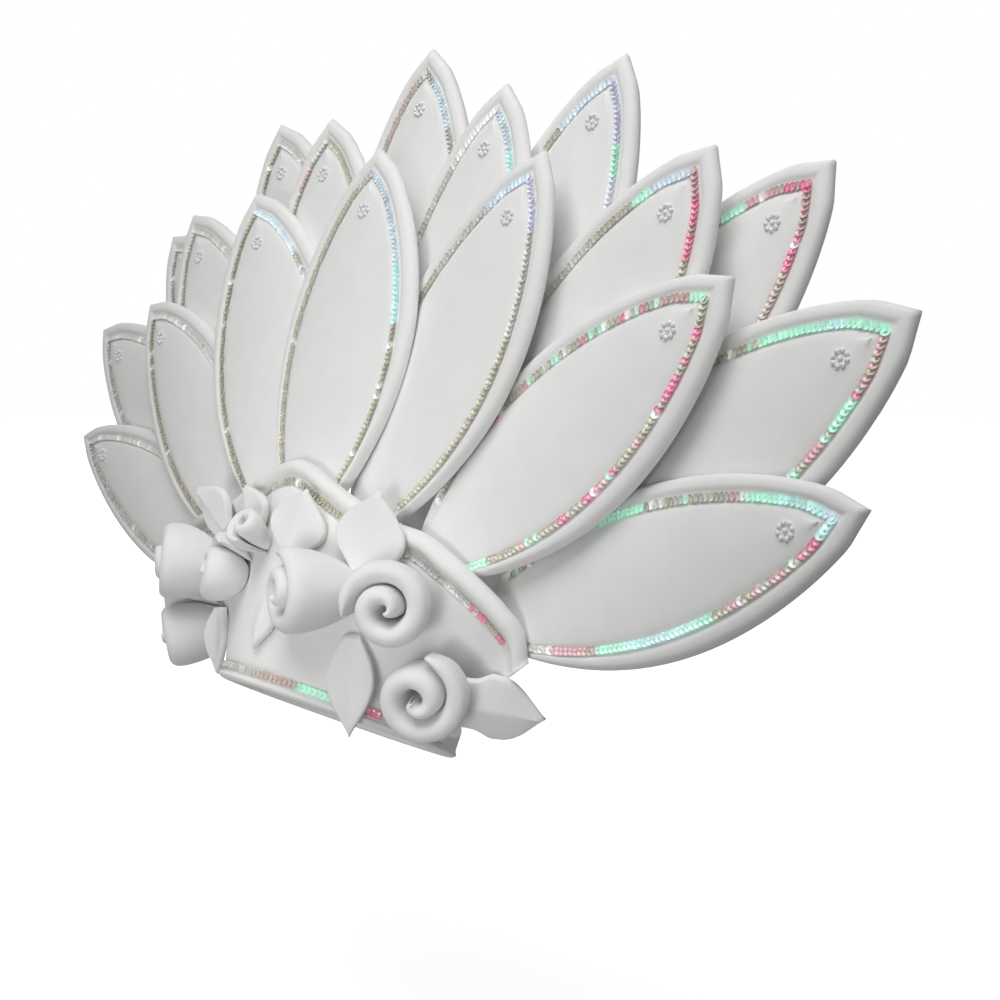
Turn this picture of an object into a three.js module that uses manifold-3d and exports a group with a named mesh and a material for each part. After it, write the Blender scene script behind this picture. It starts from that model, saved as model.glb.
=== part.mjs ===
// White foam feather crown: a flared diadem on a head band, three tiers of cut foam feathers
// with sequin trims, rolled foam roses and pointed foam leaves.
// Millimetres. +X is the wearer's left, -Y the front, +Z up. The origin is the centre of the head opening.
import * as THREE from "three";
import ManifoldModule from "manifold-3d";

const wasm = await ManifoldModule();
wasm.setup();

// Head opening, worn tilted back
const HEAD = { halfWidth: 78, halfDepth: 90, tilt: 27 };

// Head band: a rounded foam ring, taller at the back where nothing stands on it
const BAND = { wall: 10, frontHeight: 13.6, backHeight: 36, rise: 112, crest: 10.6, channel: 9, steps: 36 };

// Sequin trims are flat strips that lie in a shallow channel
const TRIM = { thick: 1.2, gap: 0.3 };

// Diadem: where its upper edge runs, by share of the way from the middle to the end
const DIADEM = {
  endAngle: 100, seat: 13.9, wall: 10, border: 11.5, channelFrom: 13, channelTo: 21, steps: 32,
};
const DIADEM_EDGE = [
  { share: 0.0, x: 0, y: -34.5, z: 202 },
  { share: 0.07, x: 15, y: -34.5, z: 199 },
  { share: 0.16, x: 36, y: -34.5, z: 190 },
  { share: 0.29, x: 62, y: -33, z: 178 },
  { share: 0.44, x: 94, y: -28, z: 164 },
  { share: 0.57, x: 124, y: -24, z: 157 },
  { share: 0.69, x: 151, y: -26, z: 145 },
  { share: 0.79, x: 170, y: -22, z: 131 },
  { share: 0.88, x: 191, y: -14, z: 110 },
  { share: 0.95, x: 199, y: -8.5, z: 94 },
  { share: 1.0, x: 201, y: -8.5, z: 75 },
];

// The fan of feathers leans back. Places in it are across, up and back from the foot of the middle feather.
const FAN = { foot: [0, -33, 146], lean: 15.7 };

// Feather: one cut shape, thick foam with a rounded border outside a pressed channel
const FEATHER = { thick: 10, cup: 4, fullness: 0.7, stem: 12, reach: 0.97, stations: 10, tipPull: 1.4 };
const CHANNEL = { from: 10, to: 18, deep: 1.6 };
const SPOT = { fromTip: 50, wide: 5.6, top: 3.4, high: 2.2, sides: 5 };

// Feathers of the wearer's left half and the middle, tier by tier. The right half mirrors them.
// angle is from upright in degrees. slope and twist are the depth gained for each mm down and across.
// stem is half the width of the foot and reach the share of the length where it ends, if not the usual ones.
const FEATHERS = {
  front: [
    { across: 0, up: 296, back: -2.5, angle: 0, length: 296, half: 72, slope: 0, twist: 0, stem: 25 },
    { across: 166, up: 279, back: 5.93, angle: 23.4, length: 300, half: 71, slope: 0.015, twist: -0.069 },
    { across: 326, up: 190, back: 19.43, angle: 47.5, length: 298, half: 62, slope: 0.005, twist: 0.065 },
    { across: 429, up: 63, back: 35.45, angle: 70.4, length: 308, half: 54, slope: 0.052, twist: 0.118 },
  ],
  middle: [
    { across: 101, up: 342, back: 19.38, angle: 8.5, length: 300, half: 68, slope: 0.023, twist: -0.034 },
    {
      across: 292, up: 276, back: 24.08, angle: 32.5, length: 300, half: 68, slope: 0.041, twist: 0.012,
      stem: 30,
    },
    {
      across: 438, up: 172, back: 36.34, angle: 57.2, length: 308, half: 64, slope: 0.073, twist: 0.056,
      stem: 26, reach: 1.17,
    },
  ],
  back: [
    { across: 0, up: 389, back: 27.63, angle: 0, length: 302, half: 68, slope: 0.051, twist: 0 },
    {
      across: 196, up: 355, back: 34.03, angle: 20.5, length: 304, half: 67, slope: 0.046, twist: -0.017,
      stem: 28, reach: 1.2,
    },
    { across: 362, up: 268, back: 47.29, angle: 43, length: 302, half: 65, slope: 0.069, twist: -0.015 },
  ],
};

// Roses: a foam strip rolled in a spiral. Each faces along its axis and its foot follows the diadem at clear.
// foot is the width of the foot as a share of the face, drop is how far the outer turn lies below the centre.
// x is given for the wearer's left and mirrored for a rose on the right.
const ROSE = { strip: 13, pitch: 13.3, core: 5, stepsPerTurn: 13 };
const ROSES = [
  {
    name: "rose_bud", sides: [1], face: [-5, -82, 160], axis: [0.05, -0.75, 0.65],
    size: 0.66, turns: 1.25, start: 200, drop: 3, foot: 0.3, clear: 0.41,
  },
  {
    name: "rose_inner_left", sides: [1], face: [52, -96, 116], axis: [-0.3, -0.95, 0.05],
    size: 1.17, turns: 1.5, start: 300, drop: 5, foot: 0.55, clear: 1,
  },
  {
    name: "rose_inner_right", sides: [-1], face: [50, -86, 122], axis: [0.5, -0.82, 0.25],
    size: 1.02, turns: 1.5, start: 300, drop: 5, foot: 0.55, clear: 0.5,
  },
  {
    name: "rose_upper_left", sides: [1], face: [139.5, -72.5, 113], axis: [0.55, -0.83, 0.08],
    size: 1.19, turns: 1.5, start: 10, drop: 6, foot: 0.55, clear: 1.42,
  },
  {
    name: "rose_upper_right", sides: [-1], face: [139.5, -72.5, 119], axis: [0.55, -0.83, 0.15],
    size: 1.19, turns: 1.5, start: 110, drop: 8, foot: 0.55, clear: 1.42,
  },
  {
    name: "rose_lower", sides: [1, -1], face: [154.8, -59.8, 52], axis: [0.5, -0.85, -0.1],
    size: 1.21, turns: 1.5, start: 258, drop: 6, foot: 0.5, clear: 1.97,
  },
];

// Leaves: pointed foam with a fold down the middle. toward is the way that the front of the leaf faces.
// x is given for the wearer's left and mirrored for a leaf on the right.
const LEAF = { thick: 6, stations: 5, fullness: 1, wideAt: 1.15, stem: 6 };
const LEAF_KINDS = {
  bud: { fold: 3, toward: [0.3, -0.95, 0.3] },
  upper: { fold: 3, toward: [0.3, -0.95, 0.1] },
  hanging: { fold: -4, toward: [0.6, -0.8, 0] },
  side: { fold: 4, toward: [0.5, -0.8, -0.3], stem: 19 },
  front: { fold: 1.5, toward: [0.05, -0.95, 0.32] },
};
const LEAVES = [
  { kind: "bud", side: 1, foot: [22.8, -61, 135.6], tip: [31.8, -49, 182.6], half: 25 },
  { kind: "bud", side: -1, foot: [19.3, -60.2, 138.4], tip: [47.8, -45.7, 179.9], half: 22 },
  { kind: "upper", side: 1, foot: [86.8, -47.3, 126.4], tip: [97.5, -37.5, 185.9], half: 28 },
  { kind: "upper", side: -1, foot: [84.9, -38.3, 139.6], tip: [122, -42.3, 172.5], half: 22 },
  { kind: "hanging", side: 1, foot: [84.1, -53.2, 88], tip: [81.1, -55.6, 11.9], half: 17 },
  {
    kind: "hanging", side: -1, foot: [87, -52.5, 83.9], tip: [79, -62.5, 31.9], half: 16,
    toward: [0.15, -0.99, 0],
  },
  { kind: "side", side: 1, foot: [159.7, -15.5, 44.8], tip: [205.7, 12.3, 39.1], half: 24 },
  { kind: "side", side: -1, foot: [159.7, -15.5, 44.8], tip: [205.7, 12.3, 39.1], half: 24 },
  { kind: "front", side: 1, foot: [14, -70.9, 110.1], tip: [12, -84.3, 70.1], half: 12 },
];

const foam = new THREE.MeshStandardMaterial({ color: 0xf1f1ef, roughness: 0.95, metalness: 0 });
const sequin = new THREE.MeshStandardMaterial({ color: 0xcfc8b4, roughness: 0.3, metalness: 0.2 });

const degrees = (angle) => (angle * Math.PI) / 180;
const vec = (x, y, z) => new THREE.Vector3(x, y, z);
const mix = (a, b, t) => a.clone().lerp(b, t);
const mirrored = (points, side) => points.map((p) => vec(p.x * side, p.y, p.z));

// A place in the head opening's own frame, turned to the worn tilt
function worn(x, y, z) {
  return vec(x, y, z).applyAxisAngle(vec(1, 0, 0), -degrees(HEAD.tilt));
}

// A closed solid through a row of rings that all have the same number of points.
// closed joins the last ring to the first. Otherwise caps are triangles of ring points that close each end.
// Spans before the one numbered mirrorAt are cut along the other diagonal, so that the two halves mirror.
function loft(rings, { closed = false, startCap = [], endCap = [], mirrorAt = 0 } = {}) {
  const size = rings[0].length;
  const position = rings.flat().flatMap((p) => [p.x, p.y, p.z]);
  const index = [];
  const spans = closed ? rings.length : rings.length - 1;
  for (let i = 0; i < spans; i++) {
    const here = i * size;
    const next = ((i + 1) % rings.length) * size;
    for (let j = 0; j < size; j++) {
      const k = (j + 1) % size;
      if (i < mirrorAt) index.push(here + j, here + k, next + j, here + k, next + k, next + j);
      else index.push(here + j, here + k, next + k, here + j, next + k, next + j);
    }
  }
  const last = (rings.length - 1) * size;
  for (const [a, b, c] of startCap) index.push(a, c, b);
  for (const [a, b, c] of endCap) index.push(last + a, last + b, last + c);
  return facingOut(position, index);
}

// Turns the triangles so that the solid has a positive volume
function facingOut(position, index) {
  let volume = 0;
  const corner = (i) => vec(position[3 * i], position[3 * i + 1], position[3 * i + 2]);
  for (let i = 0; i < index.length; i += 3) {
    volume += corner(index[i]).dot(corner(index[i + 1]).cross(corner(index[i + 2])));
  }
  if (volume < 0) {
    for (let i = 0; i < index.length; i += 3) [index[i + 1], index[i + 2]] = [index[i + 2], index[i + 1]];
  }
  const geometry = new THREE.BufferGeometry();
  geometry.setAttribute("position", new THREE.Float32BufferAttribute(position, 3));
  geometry.setIndex(index);
  return geometry;
}

// Cap of a flat section given as [x, y] pairs
function sectionCap(section) {
  return THREE.ShapeUtils.triangulateShape(section.map(([x, y]) => new THREE.Vector2(x, y)), []);
}

// Cap of a leaf-shaped ring: point 0 is the tip, then the near side down to the stem and the far side up
function leafCap(stations) {
  const size = 2 * stations + 1;
  const faces = [[0, 1, size - 1]];
  for (let i = 1; i < stations; i++) {
    faces.push([i, i + 1, size - i - 1], [i, size - i - 1, size - i]);
  }
  return faces;
}

function toManifold(geometry) {
  const vertProperties = new Float32Array(geometry.attributes.position.array);
  const triVerts = new Uint32Array(geometry.index.array);
  const mesh = new wasm.Mesh({ numProp: 3, vertProperties, triVerts });
  mesh.merge();
  return new wasm.Manifold(mesh);
}

function fuse(...geometries) {
  const whole = geometries.map(toManifold).reduce((a, b) => a.add(b));
  const mesh = whole.getMesh();
  const geometry = new THREE.BufferGeometry();
  geometry.setAttribute("position", new THREE.Float32BufferAttribute(mesh.vertProperties, 3));
  geometry.setIndex([...mesh.triVerts]);
  return geometry;
}

// Smooth value between the rows of a table, read by its share column
function along(table, share, column) {
  const at = Math.min(Math.max(share, 0), 1);
  let i = 0;
  while (i < table.length - 2 && at > table[i + 1].share) i++;
  const t = (at - table[i].share) / (table[i + 1].share - table[i].share);
  return table[i][column] + (table[i + 1][column] - table[i][column]) * t;
}

// Diadem surface. share runs from -1 at the right end to 1 at the left, rise from 0 below to 1 at the edge.
function diademFoot(share) {
  const turn = degrees(DIADEM.endAngle * share);
  const halfWidth = HEAD.halfWidth + BAND.wall;
  const halfDepth = HEAD.halfDepth + BAND.wall;
  return worn(halfWidth * Math.sin(turn), -halfDepth * Math.cos(turn), DIADEM.seat);
}

function diademEdge(share) {
  const s = Math.abs(share);
  const x = along(DIADEM_EDGE, s, "x") * Math.sign(share);
  return vec(x, along(DIADEM_EDGE, s, "y"), along(DIADEM_EDGE, s, "z"));
}

function diademPoint(share, rise) {
  return mix(diademFoot(share), diademEdge(share), rise);
}

function diademNormal(share, rise = 0.55) {
  const step = 0.06;
  const before = diademPoint(Math.max(share - step, -1), rise);
  const across = diademPoint(Math.min(share + step, 1), rise).sub(before);
  const upward = diademEdge(share).sub(diademFoot(share));
  return across.cross(upward).normalize();
}

// Section of the diadem: distance below the upper edge and height in front of the surface
function diademSection(length) {
  const back = -DIADEM.wall;
  return [
    [length, 0],
    [length * 0.55, 0],
    [DIADEM.channelTo + 4, 0],
    [DIADEM.channelTo, -1.5],
    [DIADEM.channelFrom, -1.5],
    [7, 2],
    [1.6, 0],
    [0.6, -7],
    [5, -DIADEM.border],
    [DIADEM.channelTo, back],
    [length * 0.55, back],
    [length, back],
  ];
}

function diademRing(share, section) {
  const foot = diademFoot(share);
  const edge = diademEdge(share);
  const down = foot.clone().sub(edge);
  const length = down.length();
  down.divideScalar(length);
  const normal = diademNormal(share);
  return section(length).map(([below, front]) => {
    return edge.clone().addScaledVector(down, below).addScaledVector(normal, front);
  });
}

function sharesFrom(start, end, steps) {
  return Array.from({ length: steps + 1 }, (_, i) => start + ((end - start) * i) / steps);
}

function makeDiadem() {
  const rings = sharesFrom(-1, 1, DIADEM.steps).map((share) => diademRing(share, diademSection));
  const cap = sectionCap(diademSection(130));
  return loft(rings, { startCap: cap, endCap: cap, mirrorAt: DIADEM.steps / 2 });
}

function makeDiademTrim() {
  const from = DIADEM.channelFrom + 0.6;
  const to = DIADEM.channelTo - 0.6;
  const low = -1.5 + TRIM.gap;
  const section = () => [[from, low], [to, low], [to, low + TRIM.thick], [from, low + TRIM.thick]];
  const edgeSteps = DIADEM.steps - 2;
  const end = edgeSteps / DIADEM.steps;
  const rings = sharesFrom(-end, end, edgeSteps).map((share) => diademRing(share, section));
  const cap = sectionCap(section());
  return loft(rings, { startCap: cap, endCap: cap, mirrorAt: edgeSteps / 2 });
}

// Head band: a ring around the opening. Places in its section are out from the opening and up from the rim.
function bandRing(turn, section) {
  return section.map(([out, up]) => {
    return worn((HEAD.halfWidth + out) * Math.sin(turn), -(HEAD.halfDepth + out) * Math.cos(turn), up);
  });
}

function bandSection(turn) {
  const beyond = Math.max(0, Math.abs(turn) - degrees(BAND.rise)) / (Math.PI - degrees(BAND.rise));
  const top = BAND.frontHeight + (BAND.backHeight - BAND.frontHeight) * Math.sin((beyond * Math.PI) / 2) ** 2;
  return [
    [0, 1.6],
    [1.6, 0],
    [8, 0],
    [BAND.crest, 2.6],
    [BAND.channel, 4.8],
    [BAND.channel, top],
    [0, top],
  ];
}

function bandTurns() {
  return Array.from({ length: BAND.steps }, (_, i) => -Math.PI + (2 * Math.PI * (i + 0.5)) / BAND.steps);
}

function makeBand() {
  return loft(bandTurns().map((turn) => bandRing(turn, bandSection(turn))), { closed: true });
}

function makeBandTrim() {
  const inner = BAND.channel + TRIM.gap;
  const section = [
    [inner, 5.4],
    [inner + TRIM.thick, 5.4],
    [inner + TRIM.thick, 12.8],
    [inner, 12.8],
  ];
  const turns = bandTurns().filter((turn) => Math.abs(turn) < degrees(BAND.rise));
  const cap = sectionCap(section);
  return loft(turns.map((turn) => bandRing(turn, section)), { startCap: cap, endCap: cap });
}

// Feather: places on it are down from the tip, across from its middle line and behind its front face
function featherPlace(row) {
  const turn = degrees(row.angle);
  const lean = degrees(FAN.lean);
  const upward = vec(0, Math.sin(lean), Math.cos(lean));
  const backward = vec(0, Math.cos(lean), -Math.sin(lean));
  const foot = vec(...FAN.foot);
  return (down, across, behind) => {
    const x = row.across - down * Math.sin(turn) + across * Math.cos(turn);
    const up = row.up - down * Math.cos(turn) - across * Math.sin(turn);
    const cup = FEATHER.cup * (across / row.half) ** 2;
    const back = row.back + row.slope * down + row.twist * across + cup + behind;
    return foot.clone().add(vec(x, 0, 0)).addScaledVector(upward, up).addScaledVector(backward, back);
  };
}

// The cut shape, drawn in from its outline by inset, at a share of the way from tip to stem
function featherHalf(row, share, inset) {
  const full = (row.half - inset) * Math.max(Math.sin(Math.PI * share), 0) ** FEATHER.fullness;
  const stem = share > 0.7 ? (row.stem ?? FEATHER.stem) - inset * 0.5 : 0;
  return Math.max(full, stem);
}

function featherDown(row, share, inset) {
  const tip = inset * FEATHER.tipPull;
  return tip + (row.length - tip) * share;
}

function featherShares(row, count) {
  return Array.from({ length: count }, (_, i) => ((i + 1) / count) ** 1.25 * (row.reach ?? FEATHER.reach));
}

function featherRing(row, place, inset, behind) {
  const shares = featherShares(row, FEATHER.stations);
  const side = (sign) => shares.map((share) => {
    return place(featherDown(row, share, inset), sign * featherHalf(row, share, inset), behind);
  });
  return [place(featherDown(row, 0, inset), 0, behind), ...side(1), ...side(-1).reverse()];
}

function makeFeather(row, side) {
  const place = featherPlace(row);
  const layers = [
    { inset: 4, behind: FEATHER.thick },
    { inset: 0, behind: FEATHER.thick * 0.55 },
    { inset: 4.5, behind: 0 },
    { inset: CHANNEL.from, behind: CHANNEL.deep },
    { inset: CHANNEL.to, behind: CHANNEL.deep },
    { inset: CHANNEL.to + 3, behind: 0.4 },
  ];
  const rings = layers.map(({ inset, behind }) => mirrored(featherRing(row, place, inset, behind), side));
  const cap = leafCap(FEATHER.stations);
  return fuse(loft(rings, { startCap: cap, endCap: cap }), makeSpot(place, side));
}

// Bead spot near the tip: a low stud that stands on the feather's face
function makeSpot(place, side) {
  const ring = (radius, behind) => Array.from({ length: SPOT.sides }, (_, i) => {
    const turn = (2 * Math.PI * i) / SPOT.sides;
    return place(SPOT.fromTip + radius * Math.cos(turn), radius * Math.sin(turn), behind);
  });
  const rings = [ring(SPOT.wide, 2), ring(SPOT.wide, 0), ring(SPOT.top, -SPOT.high)];
  const cap = Array.from({ length: SPOT.sides - 2 }, (_, i) => [0, i + 1, i + 2]);
  return loft(rings.map((r) => mirrored(r, side)), { startCap: cap, endCap: cap });
}

// The trim follows the channel down one side, round the tip and down the other
function makeFeatherTrim(row, side) {
  const place = featherPlace(row);
  const deep = CHANNEL.deep - TRIM.gap;
  const corners = [
    featherRing(row, place, CHANNEL.from + 0.6, deep),
    featherRing(row, place, CHANNEL.to - 0.6, deep),
    featherRing(row, place, CHANNEL.to - 0.6, deep - TRIM.thick),
    featherRing(row, place, CHANNEL.from + 0.6, deep - TRIM.thick),
  ].map((ring) => mirrored(ring, side));
  const count = FEATHER.stations - 1;
  const order = [];
  for (let i = count; i >= 0; i--) order.push(i);
  for (let i = 1; i <= count; i++) order.push(2 * FEATHER.stations + 1 - i);
  const rings = order.map((i) => corners.map((corner) => corner[i]));
  const cap = [[0, 1, 2], [0, 2, 3]];
  return loft(rings, { startCap: cap, endCap: cap });
}

// Solves where the line from a point along a way meets the diadem's surface, and gives the distance to it
function distanceToDiadem(point, way, lift) {
  const miss = ([share, rise, run]) => {
    const surface = diademPoint(share, rise).addScaledVector(diademNormal(share), lift);
    return surface.sub(point).addScaledVector(way, -run);
  };
  let guess = nearestOnDiadem(point);
  for (let turn = 0; turn < 8; turn++) {
    const now = miss(guess);
    const step = 1e-3;
    const columns = [0, 1, 2].map((i) => {
      const moved = [...guess];
      moved[i] += step;
      return miss(moved).sub(now).divideScalar(step);
    });
    const slope = new THREE.Matrix3().set(
      columns[0].x, columns[1].x, columns[2].x,
      columns[0].y, columns[1].y, columns[2].y,
      columns[0].z, columns[1].z, columns[2].z,
    );
    const change = now.applyMatrix3(slope.invert());
    guess = [guess[0] - change.x, guess[1] - change.y, guess[2] - change.z];
    guess[0] = Math.min(Math.max(guess[0], -0.999), 0.999);
  }
  return guess[2];
}

function nearestOnDiadem(point) {
  let best = [0, 0.5, 0];
  let least = Infinity;
  for (let share = -0.95; share <= 0.96; share += 0.05) {
    for (let rise = 0.1; rise <= 0.91; rise += 0.1) {
      const away = diademPoint(share, rise).distanceTo(point);
      if (away < least) {
        least = away;
        best = [share, rise, away];
      }
    }
  }
  return best;
}

function makeRose(row, side) {
  const axis = vec(...row.axis).normalize();
  const face = vec(...row.face);
  const right = vec(0, 0, 1).cross(axis).normalize();
  const upward = axis.clone().cross(right);
  const total = Math.round(row.turns * ROSE.stepsPerTurn);
  const rings = [];
  for (let i = 0; i <= total; i++) {
    const turn = (2 * Math.PI * i) / ROSE.stepsPerTurn;
    const angle = turn + degrees(row.start);
    const outward = right.clone().multiplyScalar(Math.cos(angle)).addScaledVector(upward, Math.sin(angle));
    const radius = row.size * (ROSE.core + (ROSE.pitch * turn) / (2 * Math.PI));
    const taper = Math.min(1, 0.45 + 0.2 * i, 0.45 + 0.2 * (total - i));
    const drop = (row.drop * i) / total;
    const half = ((row.size * ROSE.strip) / 2) * taper;
    const inner = face.clone().addScaledVector(outward, radius - half);
    const outer = face.clone().addScaledVector(outward, radius + half);
    const foot = (p) => {
      const start = mix(face, p, row.foot);
      return start.addScaledVector(axis, -distanceToDiadem(start, axis.clone().negate(), row.clear));
    };
    const top = (p, low) => p.clone().addScaledVector(axis, -drop - low);
    const outerLip = [top(outer, 6), top(mix(inner, outer, 0.78), 0.8)];
    const innerLip = [top(mix(inner, outer, 0.3), 0.4), top(inner, 4.5)];
    rings.push([foot(inner), foot(outer), ...outerLip, ...innerLip]);
  }
  const cap = [[0, 1, 2], [0, 2, 3], [0, 3, 4], [0, 4, 5]];
  return loft(rings.map((ring) => mirrored(ring, side)), { startCap: cap, endCap: cap });
}

function makeLeaf(row) {
  const kind = LEAF_KINDS[row.kind];
  const foldHeight = kind.fold;
  const toward = row.toward ?? kind.toward;
  const foot = vec(...row.foot);
  const tip = vec(...row.tip);
  const downward = foot.clone().sub(tip);
  const length = downward.length();
  downward.divideScalar(length);
  const across = vec(...toward).cross(downward).normalize();
  const front = downward.clone().cross(across).normalize();
  if (front.dot(vec(...toward)) < 0) front.negate();
  const place = (share, sign, inset, behind) => {
    const pull = inset * 1.6;
    const full = (row.half - inset) * Math.sin(Math.PI * share ** LEAF.wideAt) ** LEAF.fullness;
    const half = Math.max(full, share > 0.6 ? (kind.stem ?? LEAF.stem) - inset * 0.5 : 0);
    const fold = foldHeight * (1 - Math.abs(sign * half) / row.half);
    return tip.clone()
      .addScaledVector(downward, pull + (length - pull) * share)
      .addScaledVector(across, sign * half)
      .addScaledVector(front, fold - behind);
  };
  const shares = Array.from({ length: LEAF.stations }, (_, i) => ((i + 1) / LEAF.stations) * 0.96);
  const ring = (inset, behind) => {
    const side = (sign) => shares.map((share) => place(share, sign, inset, behind));
    return [place(0, 0, inset, behind), ...side(1), ...side(-1).reverse()];
  };
  const rings = [ring(2.5, LEAF.thick), ring(0, LEAF.thick / 2), ring(2.5, 0)];
  const cap = leafCap(LEAF.stations);
  return loft(rings.map((r) => mirrored(r, row.side)), { startCap: cap, endCap: cap });
}

const crown = new THREE.Group();
crown.name = "feather_crown";

function addPiece(name, geometry, material) {
  const mesh = new THREE.Mesh(geometry, material);
  mesh.name = name;
  geometry.computeVertexNormals();
  crown.add(mesh);
}

const sideName = { 1: "left", [-1]: "right" };

addPiece("head_band", makeBand(), foam);
addPiece("head_band_trim", makeBandTrim(), sequin);
addPiece("diadem", makeDiadem(), foam);
addPiece("diadem_trim", makeDiademTrim(), sequin);

for (const [tier, rows] of Object.entries(FEATHERS)) {
  rows.forEach((row, i) => {
    const number = rows[0].across > 0 ? i + 1 : i;
    for (const side of number > 0 ? [1, -1] : [1]) {
      const name = number > 0 ? `${tier}_${sideName[side]}_${number}` : `${tier}_middle`;
      addPiece(`feather_${name}`, makeFeather(row, side), foam);
      addPiece(`trim_${name}`, makeFeatherTrim(row, side), sequin);
    }
  });
}

for (const row of ROSES) {
  for (const side of row.sides) {
    const name = row.sides.length > 1 ? `${row.name}_${sideName[side]}` : row.name;
    addPiece(name, makeRose(row, side), foam);
  }
}

for (const row of LEAVES) addPiece(`leaf_${row.kind}_${sideName[row.side]}`, makeLeaf(row), foam);

export default crown;
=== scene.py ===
"""Looks of the white foam feather crown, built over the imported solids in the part's own frame."""
import math
from collections import namedtuple

import bmesh
import bpy
import numpy as np
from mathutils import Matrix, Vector


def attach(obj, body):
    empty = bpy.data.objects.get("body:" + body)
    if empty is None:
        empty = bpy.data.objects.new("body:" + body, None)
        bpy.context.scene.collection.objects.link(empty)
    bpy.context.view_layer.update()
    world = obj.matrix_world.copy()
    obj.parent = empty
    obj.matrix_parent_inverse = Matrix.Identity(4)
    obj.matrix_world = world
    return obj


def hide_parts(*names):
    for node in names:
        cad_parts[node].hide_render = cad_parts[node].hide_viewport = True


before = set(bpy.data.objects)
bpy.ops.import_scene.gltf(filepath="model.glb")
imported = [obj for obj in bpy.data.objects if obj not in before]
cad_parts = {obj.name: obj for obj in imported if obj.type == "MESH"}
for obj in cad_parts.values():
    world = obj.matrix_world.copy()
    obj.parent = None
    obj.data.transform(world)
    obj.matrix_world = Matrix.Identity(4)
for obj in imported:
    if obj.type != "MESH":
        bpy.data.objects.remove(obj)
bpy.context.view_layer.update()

MM = 0.001

# Sizes in millimetres and degrees. They follow the solids, but the foot of the middle front feather and
# the right hanging leaf are a little wider here, to close gaps that the photo doesn't show
HEAD = {"half_width": 78, "half_depth": 90, "tilt": 27}
BAND = {"wall": 10, "front_height": 13.6, "back_height": 36, "rise": 112, "crest": 10.6, "channel": 9}
DIADEM = {
    "end_angle": 100, "seat": 13.9, "wall": 10, "border": 11.5, "corner": 1.2,
    "channel_from": 13, "channel_to": 21, "channel_deep": 1.6,
    "pressed": 1.8,  # how far the glued foot of the foam sinks into the top of the band
}
DIADEM_EDGE = [  # share of the way to the end, x, y, z
    (0.0, 0, -34.5, 202),
    (0.07, 15, -34.5, 199),
    (0.16, 36, -34.5, 190),
    (0.29, 62, -33, 178),
    (0.44, 94, -28, 164),
    (0.57, 124, -24, 157),
    (0.69, 151, -26, 145),
    (0.79, 170, -22, 131),
    (0.88, 191, -14, 110),
    (0.95, 199, -8.5, 94),
    (1.0, 201, -8.5, 75),
]
FAN_FOOT = (0, -33, 146)
FAN_LEAN = 15.7
FEATHER = {
    "thick": 10, "cup": 4, "fullness": 0.7, "tip_pull": 1.4, "straight": 0.055,
    "stem_from": 0.7, "stem_inset": 0.5, "puff": 0.9,
    "back_round": 4, "front_round": 4.6,  # how far the rounding of each edge reaches in from the outline
    "widest": 0.55,  # share of the thickness at which the feather is widest
    "crowd": 1.35,  # draws the stations towards the tip
}
CHANNEL = {"from": 10, "to": 18, "deep": 1.6}
SPOT_FROM_TIP = 50

# Feathers of the left half and the middle. across, up and back place the tip, half is half the width,
# stem is half the width of the foot, and reach is the share of the length where the foot ends
FeatherRow = namedtuple("FeatherRow", "across up back angle length half slope twist stem reach")
FEATHERS = {
    "front": [
        (0, 296, -2.5, 0, 296, 72, 0, 0, 36, 0.97),
        (166, 279, 5.93, 23.4, 300, 71, 0.015, -0.069, 12, 0.97),
        (326, 190, 19.43, 47.5, 298, 62, 0.005, 0.065, 12, 0.97),
        (429, 63, 35.45, 70.4, 308, 54, 0.052, 0.118, 12, 0.97),
    ],
    "middle": [
        (101, 342, 19.38, 8.5, 300, 68, 0.023, -0.034, 12, 0.97),
        (292, 276, 24.08, 32.5, 300, 68, 0.041, 0.012, 30, 0.97),
        (438, 172, 36.34, 57.2, 308, 64, 0.073, 0.056, 26, 1.17),
    ],
    "back": [
        (0, 389, 27.63, 0, 302, 68, 0.051, 0, 12, 0.97),
        (196, 355, 34.03, 20.5, 304, 67, 0.046, -0.017, 28, 1.2),
        (362, 268, 47.29, 43, 302, 65, 0.069, -0.015, 12, 0.97),
    ],
}

# Roses. face is the middle of the open side, axis is the way that it faces, drop is how far the outer end
# of the strip lies below the inner one, and clear is the gap between the foot and the diadem
RoseRow = namedtuple("RoseRow", "name sides face axis size turns start drop foot_share clear")
ROSES = [
    ("rose_bud", (1,), (-5, -82, 160), (0.05, -0.75, 0.65), 0.66, 1.25, 200, 3, 0.3, 0.41),
    ("rose_inner_left", (1,), (52, -96, 116), (-0.3, -0.95, 0.05), 1.17, 1.5, 300, 5, 0.55, 1),
    ("rose_inner_right", (-1,), (50, -86, 122), (0.5, -0.82, 0.25), 1.02, 1.5, 300, 5, 0.55, 0.5),
    ("rose_upper_left", (1,), (139.5, -72.5, 113), (0.55, -0.83, 0.08), 1.19, 1.5, 10, 6, 0.55, 1.42),
    ("rose_upper_right", (-1,), (139.5, -72.5, 119), (0.55, -0.83, 0.15), 1.19, 1.5, 110, 8, 0.55, 1.42),
    ("rose_lower", (1, -1), (154.8, -59.8, 52), (0.5, -0.85, -0.1), 1.21, 1.5, 258, 6, 0.5, 1.97),
]
ROSE = {
    "strip": 13, "pitch": 13.3, "core": 5,
    "solid_steps": 13,  # steps in one turn of the solid, by which the distance from an end is measured
    "thin_end": 0.45, "thicken": 0.2,  # thickness of the strip at its ends, and its gain with each step
    "round_end": 0.9, "end_drop": 2.5,  # steps over which an end is rounded, and how far it drops there
    "widest": 0.62,  # largest half thickness, as a share of the radius
    "foot_every": 4,  # steps between the places where the foot is worked out
    "lip": 0.95, "rim_out": 1.2, "bulge": 3,
}
WALL_SHARES = (0.25, 0.5, 0.75)

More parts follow.
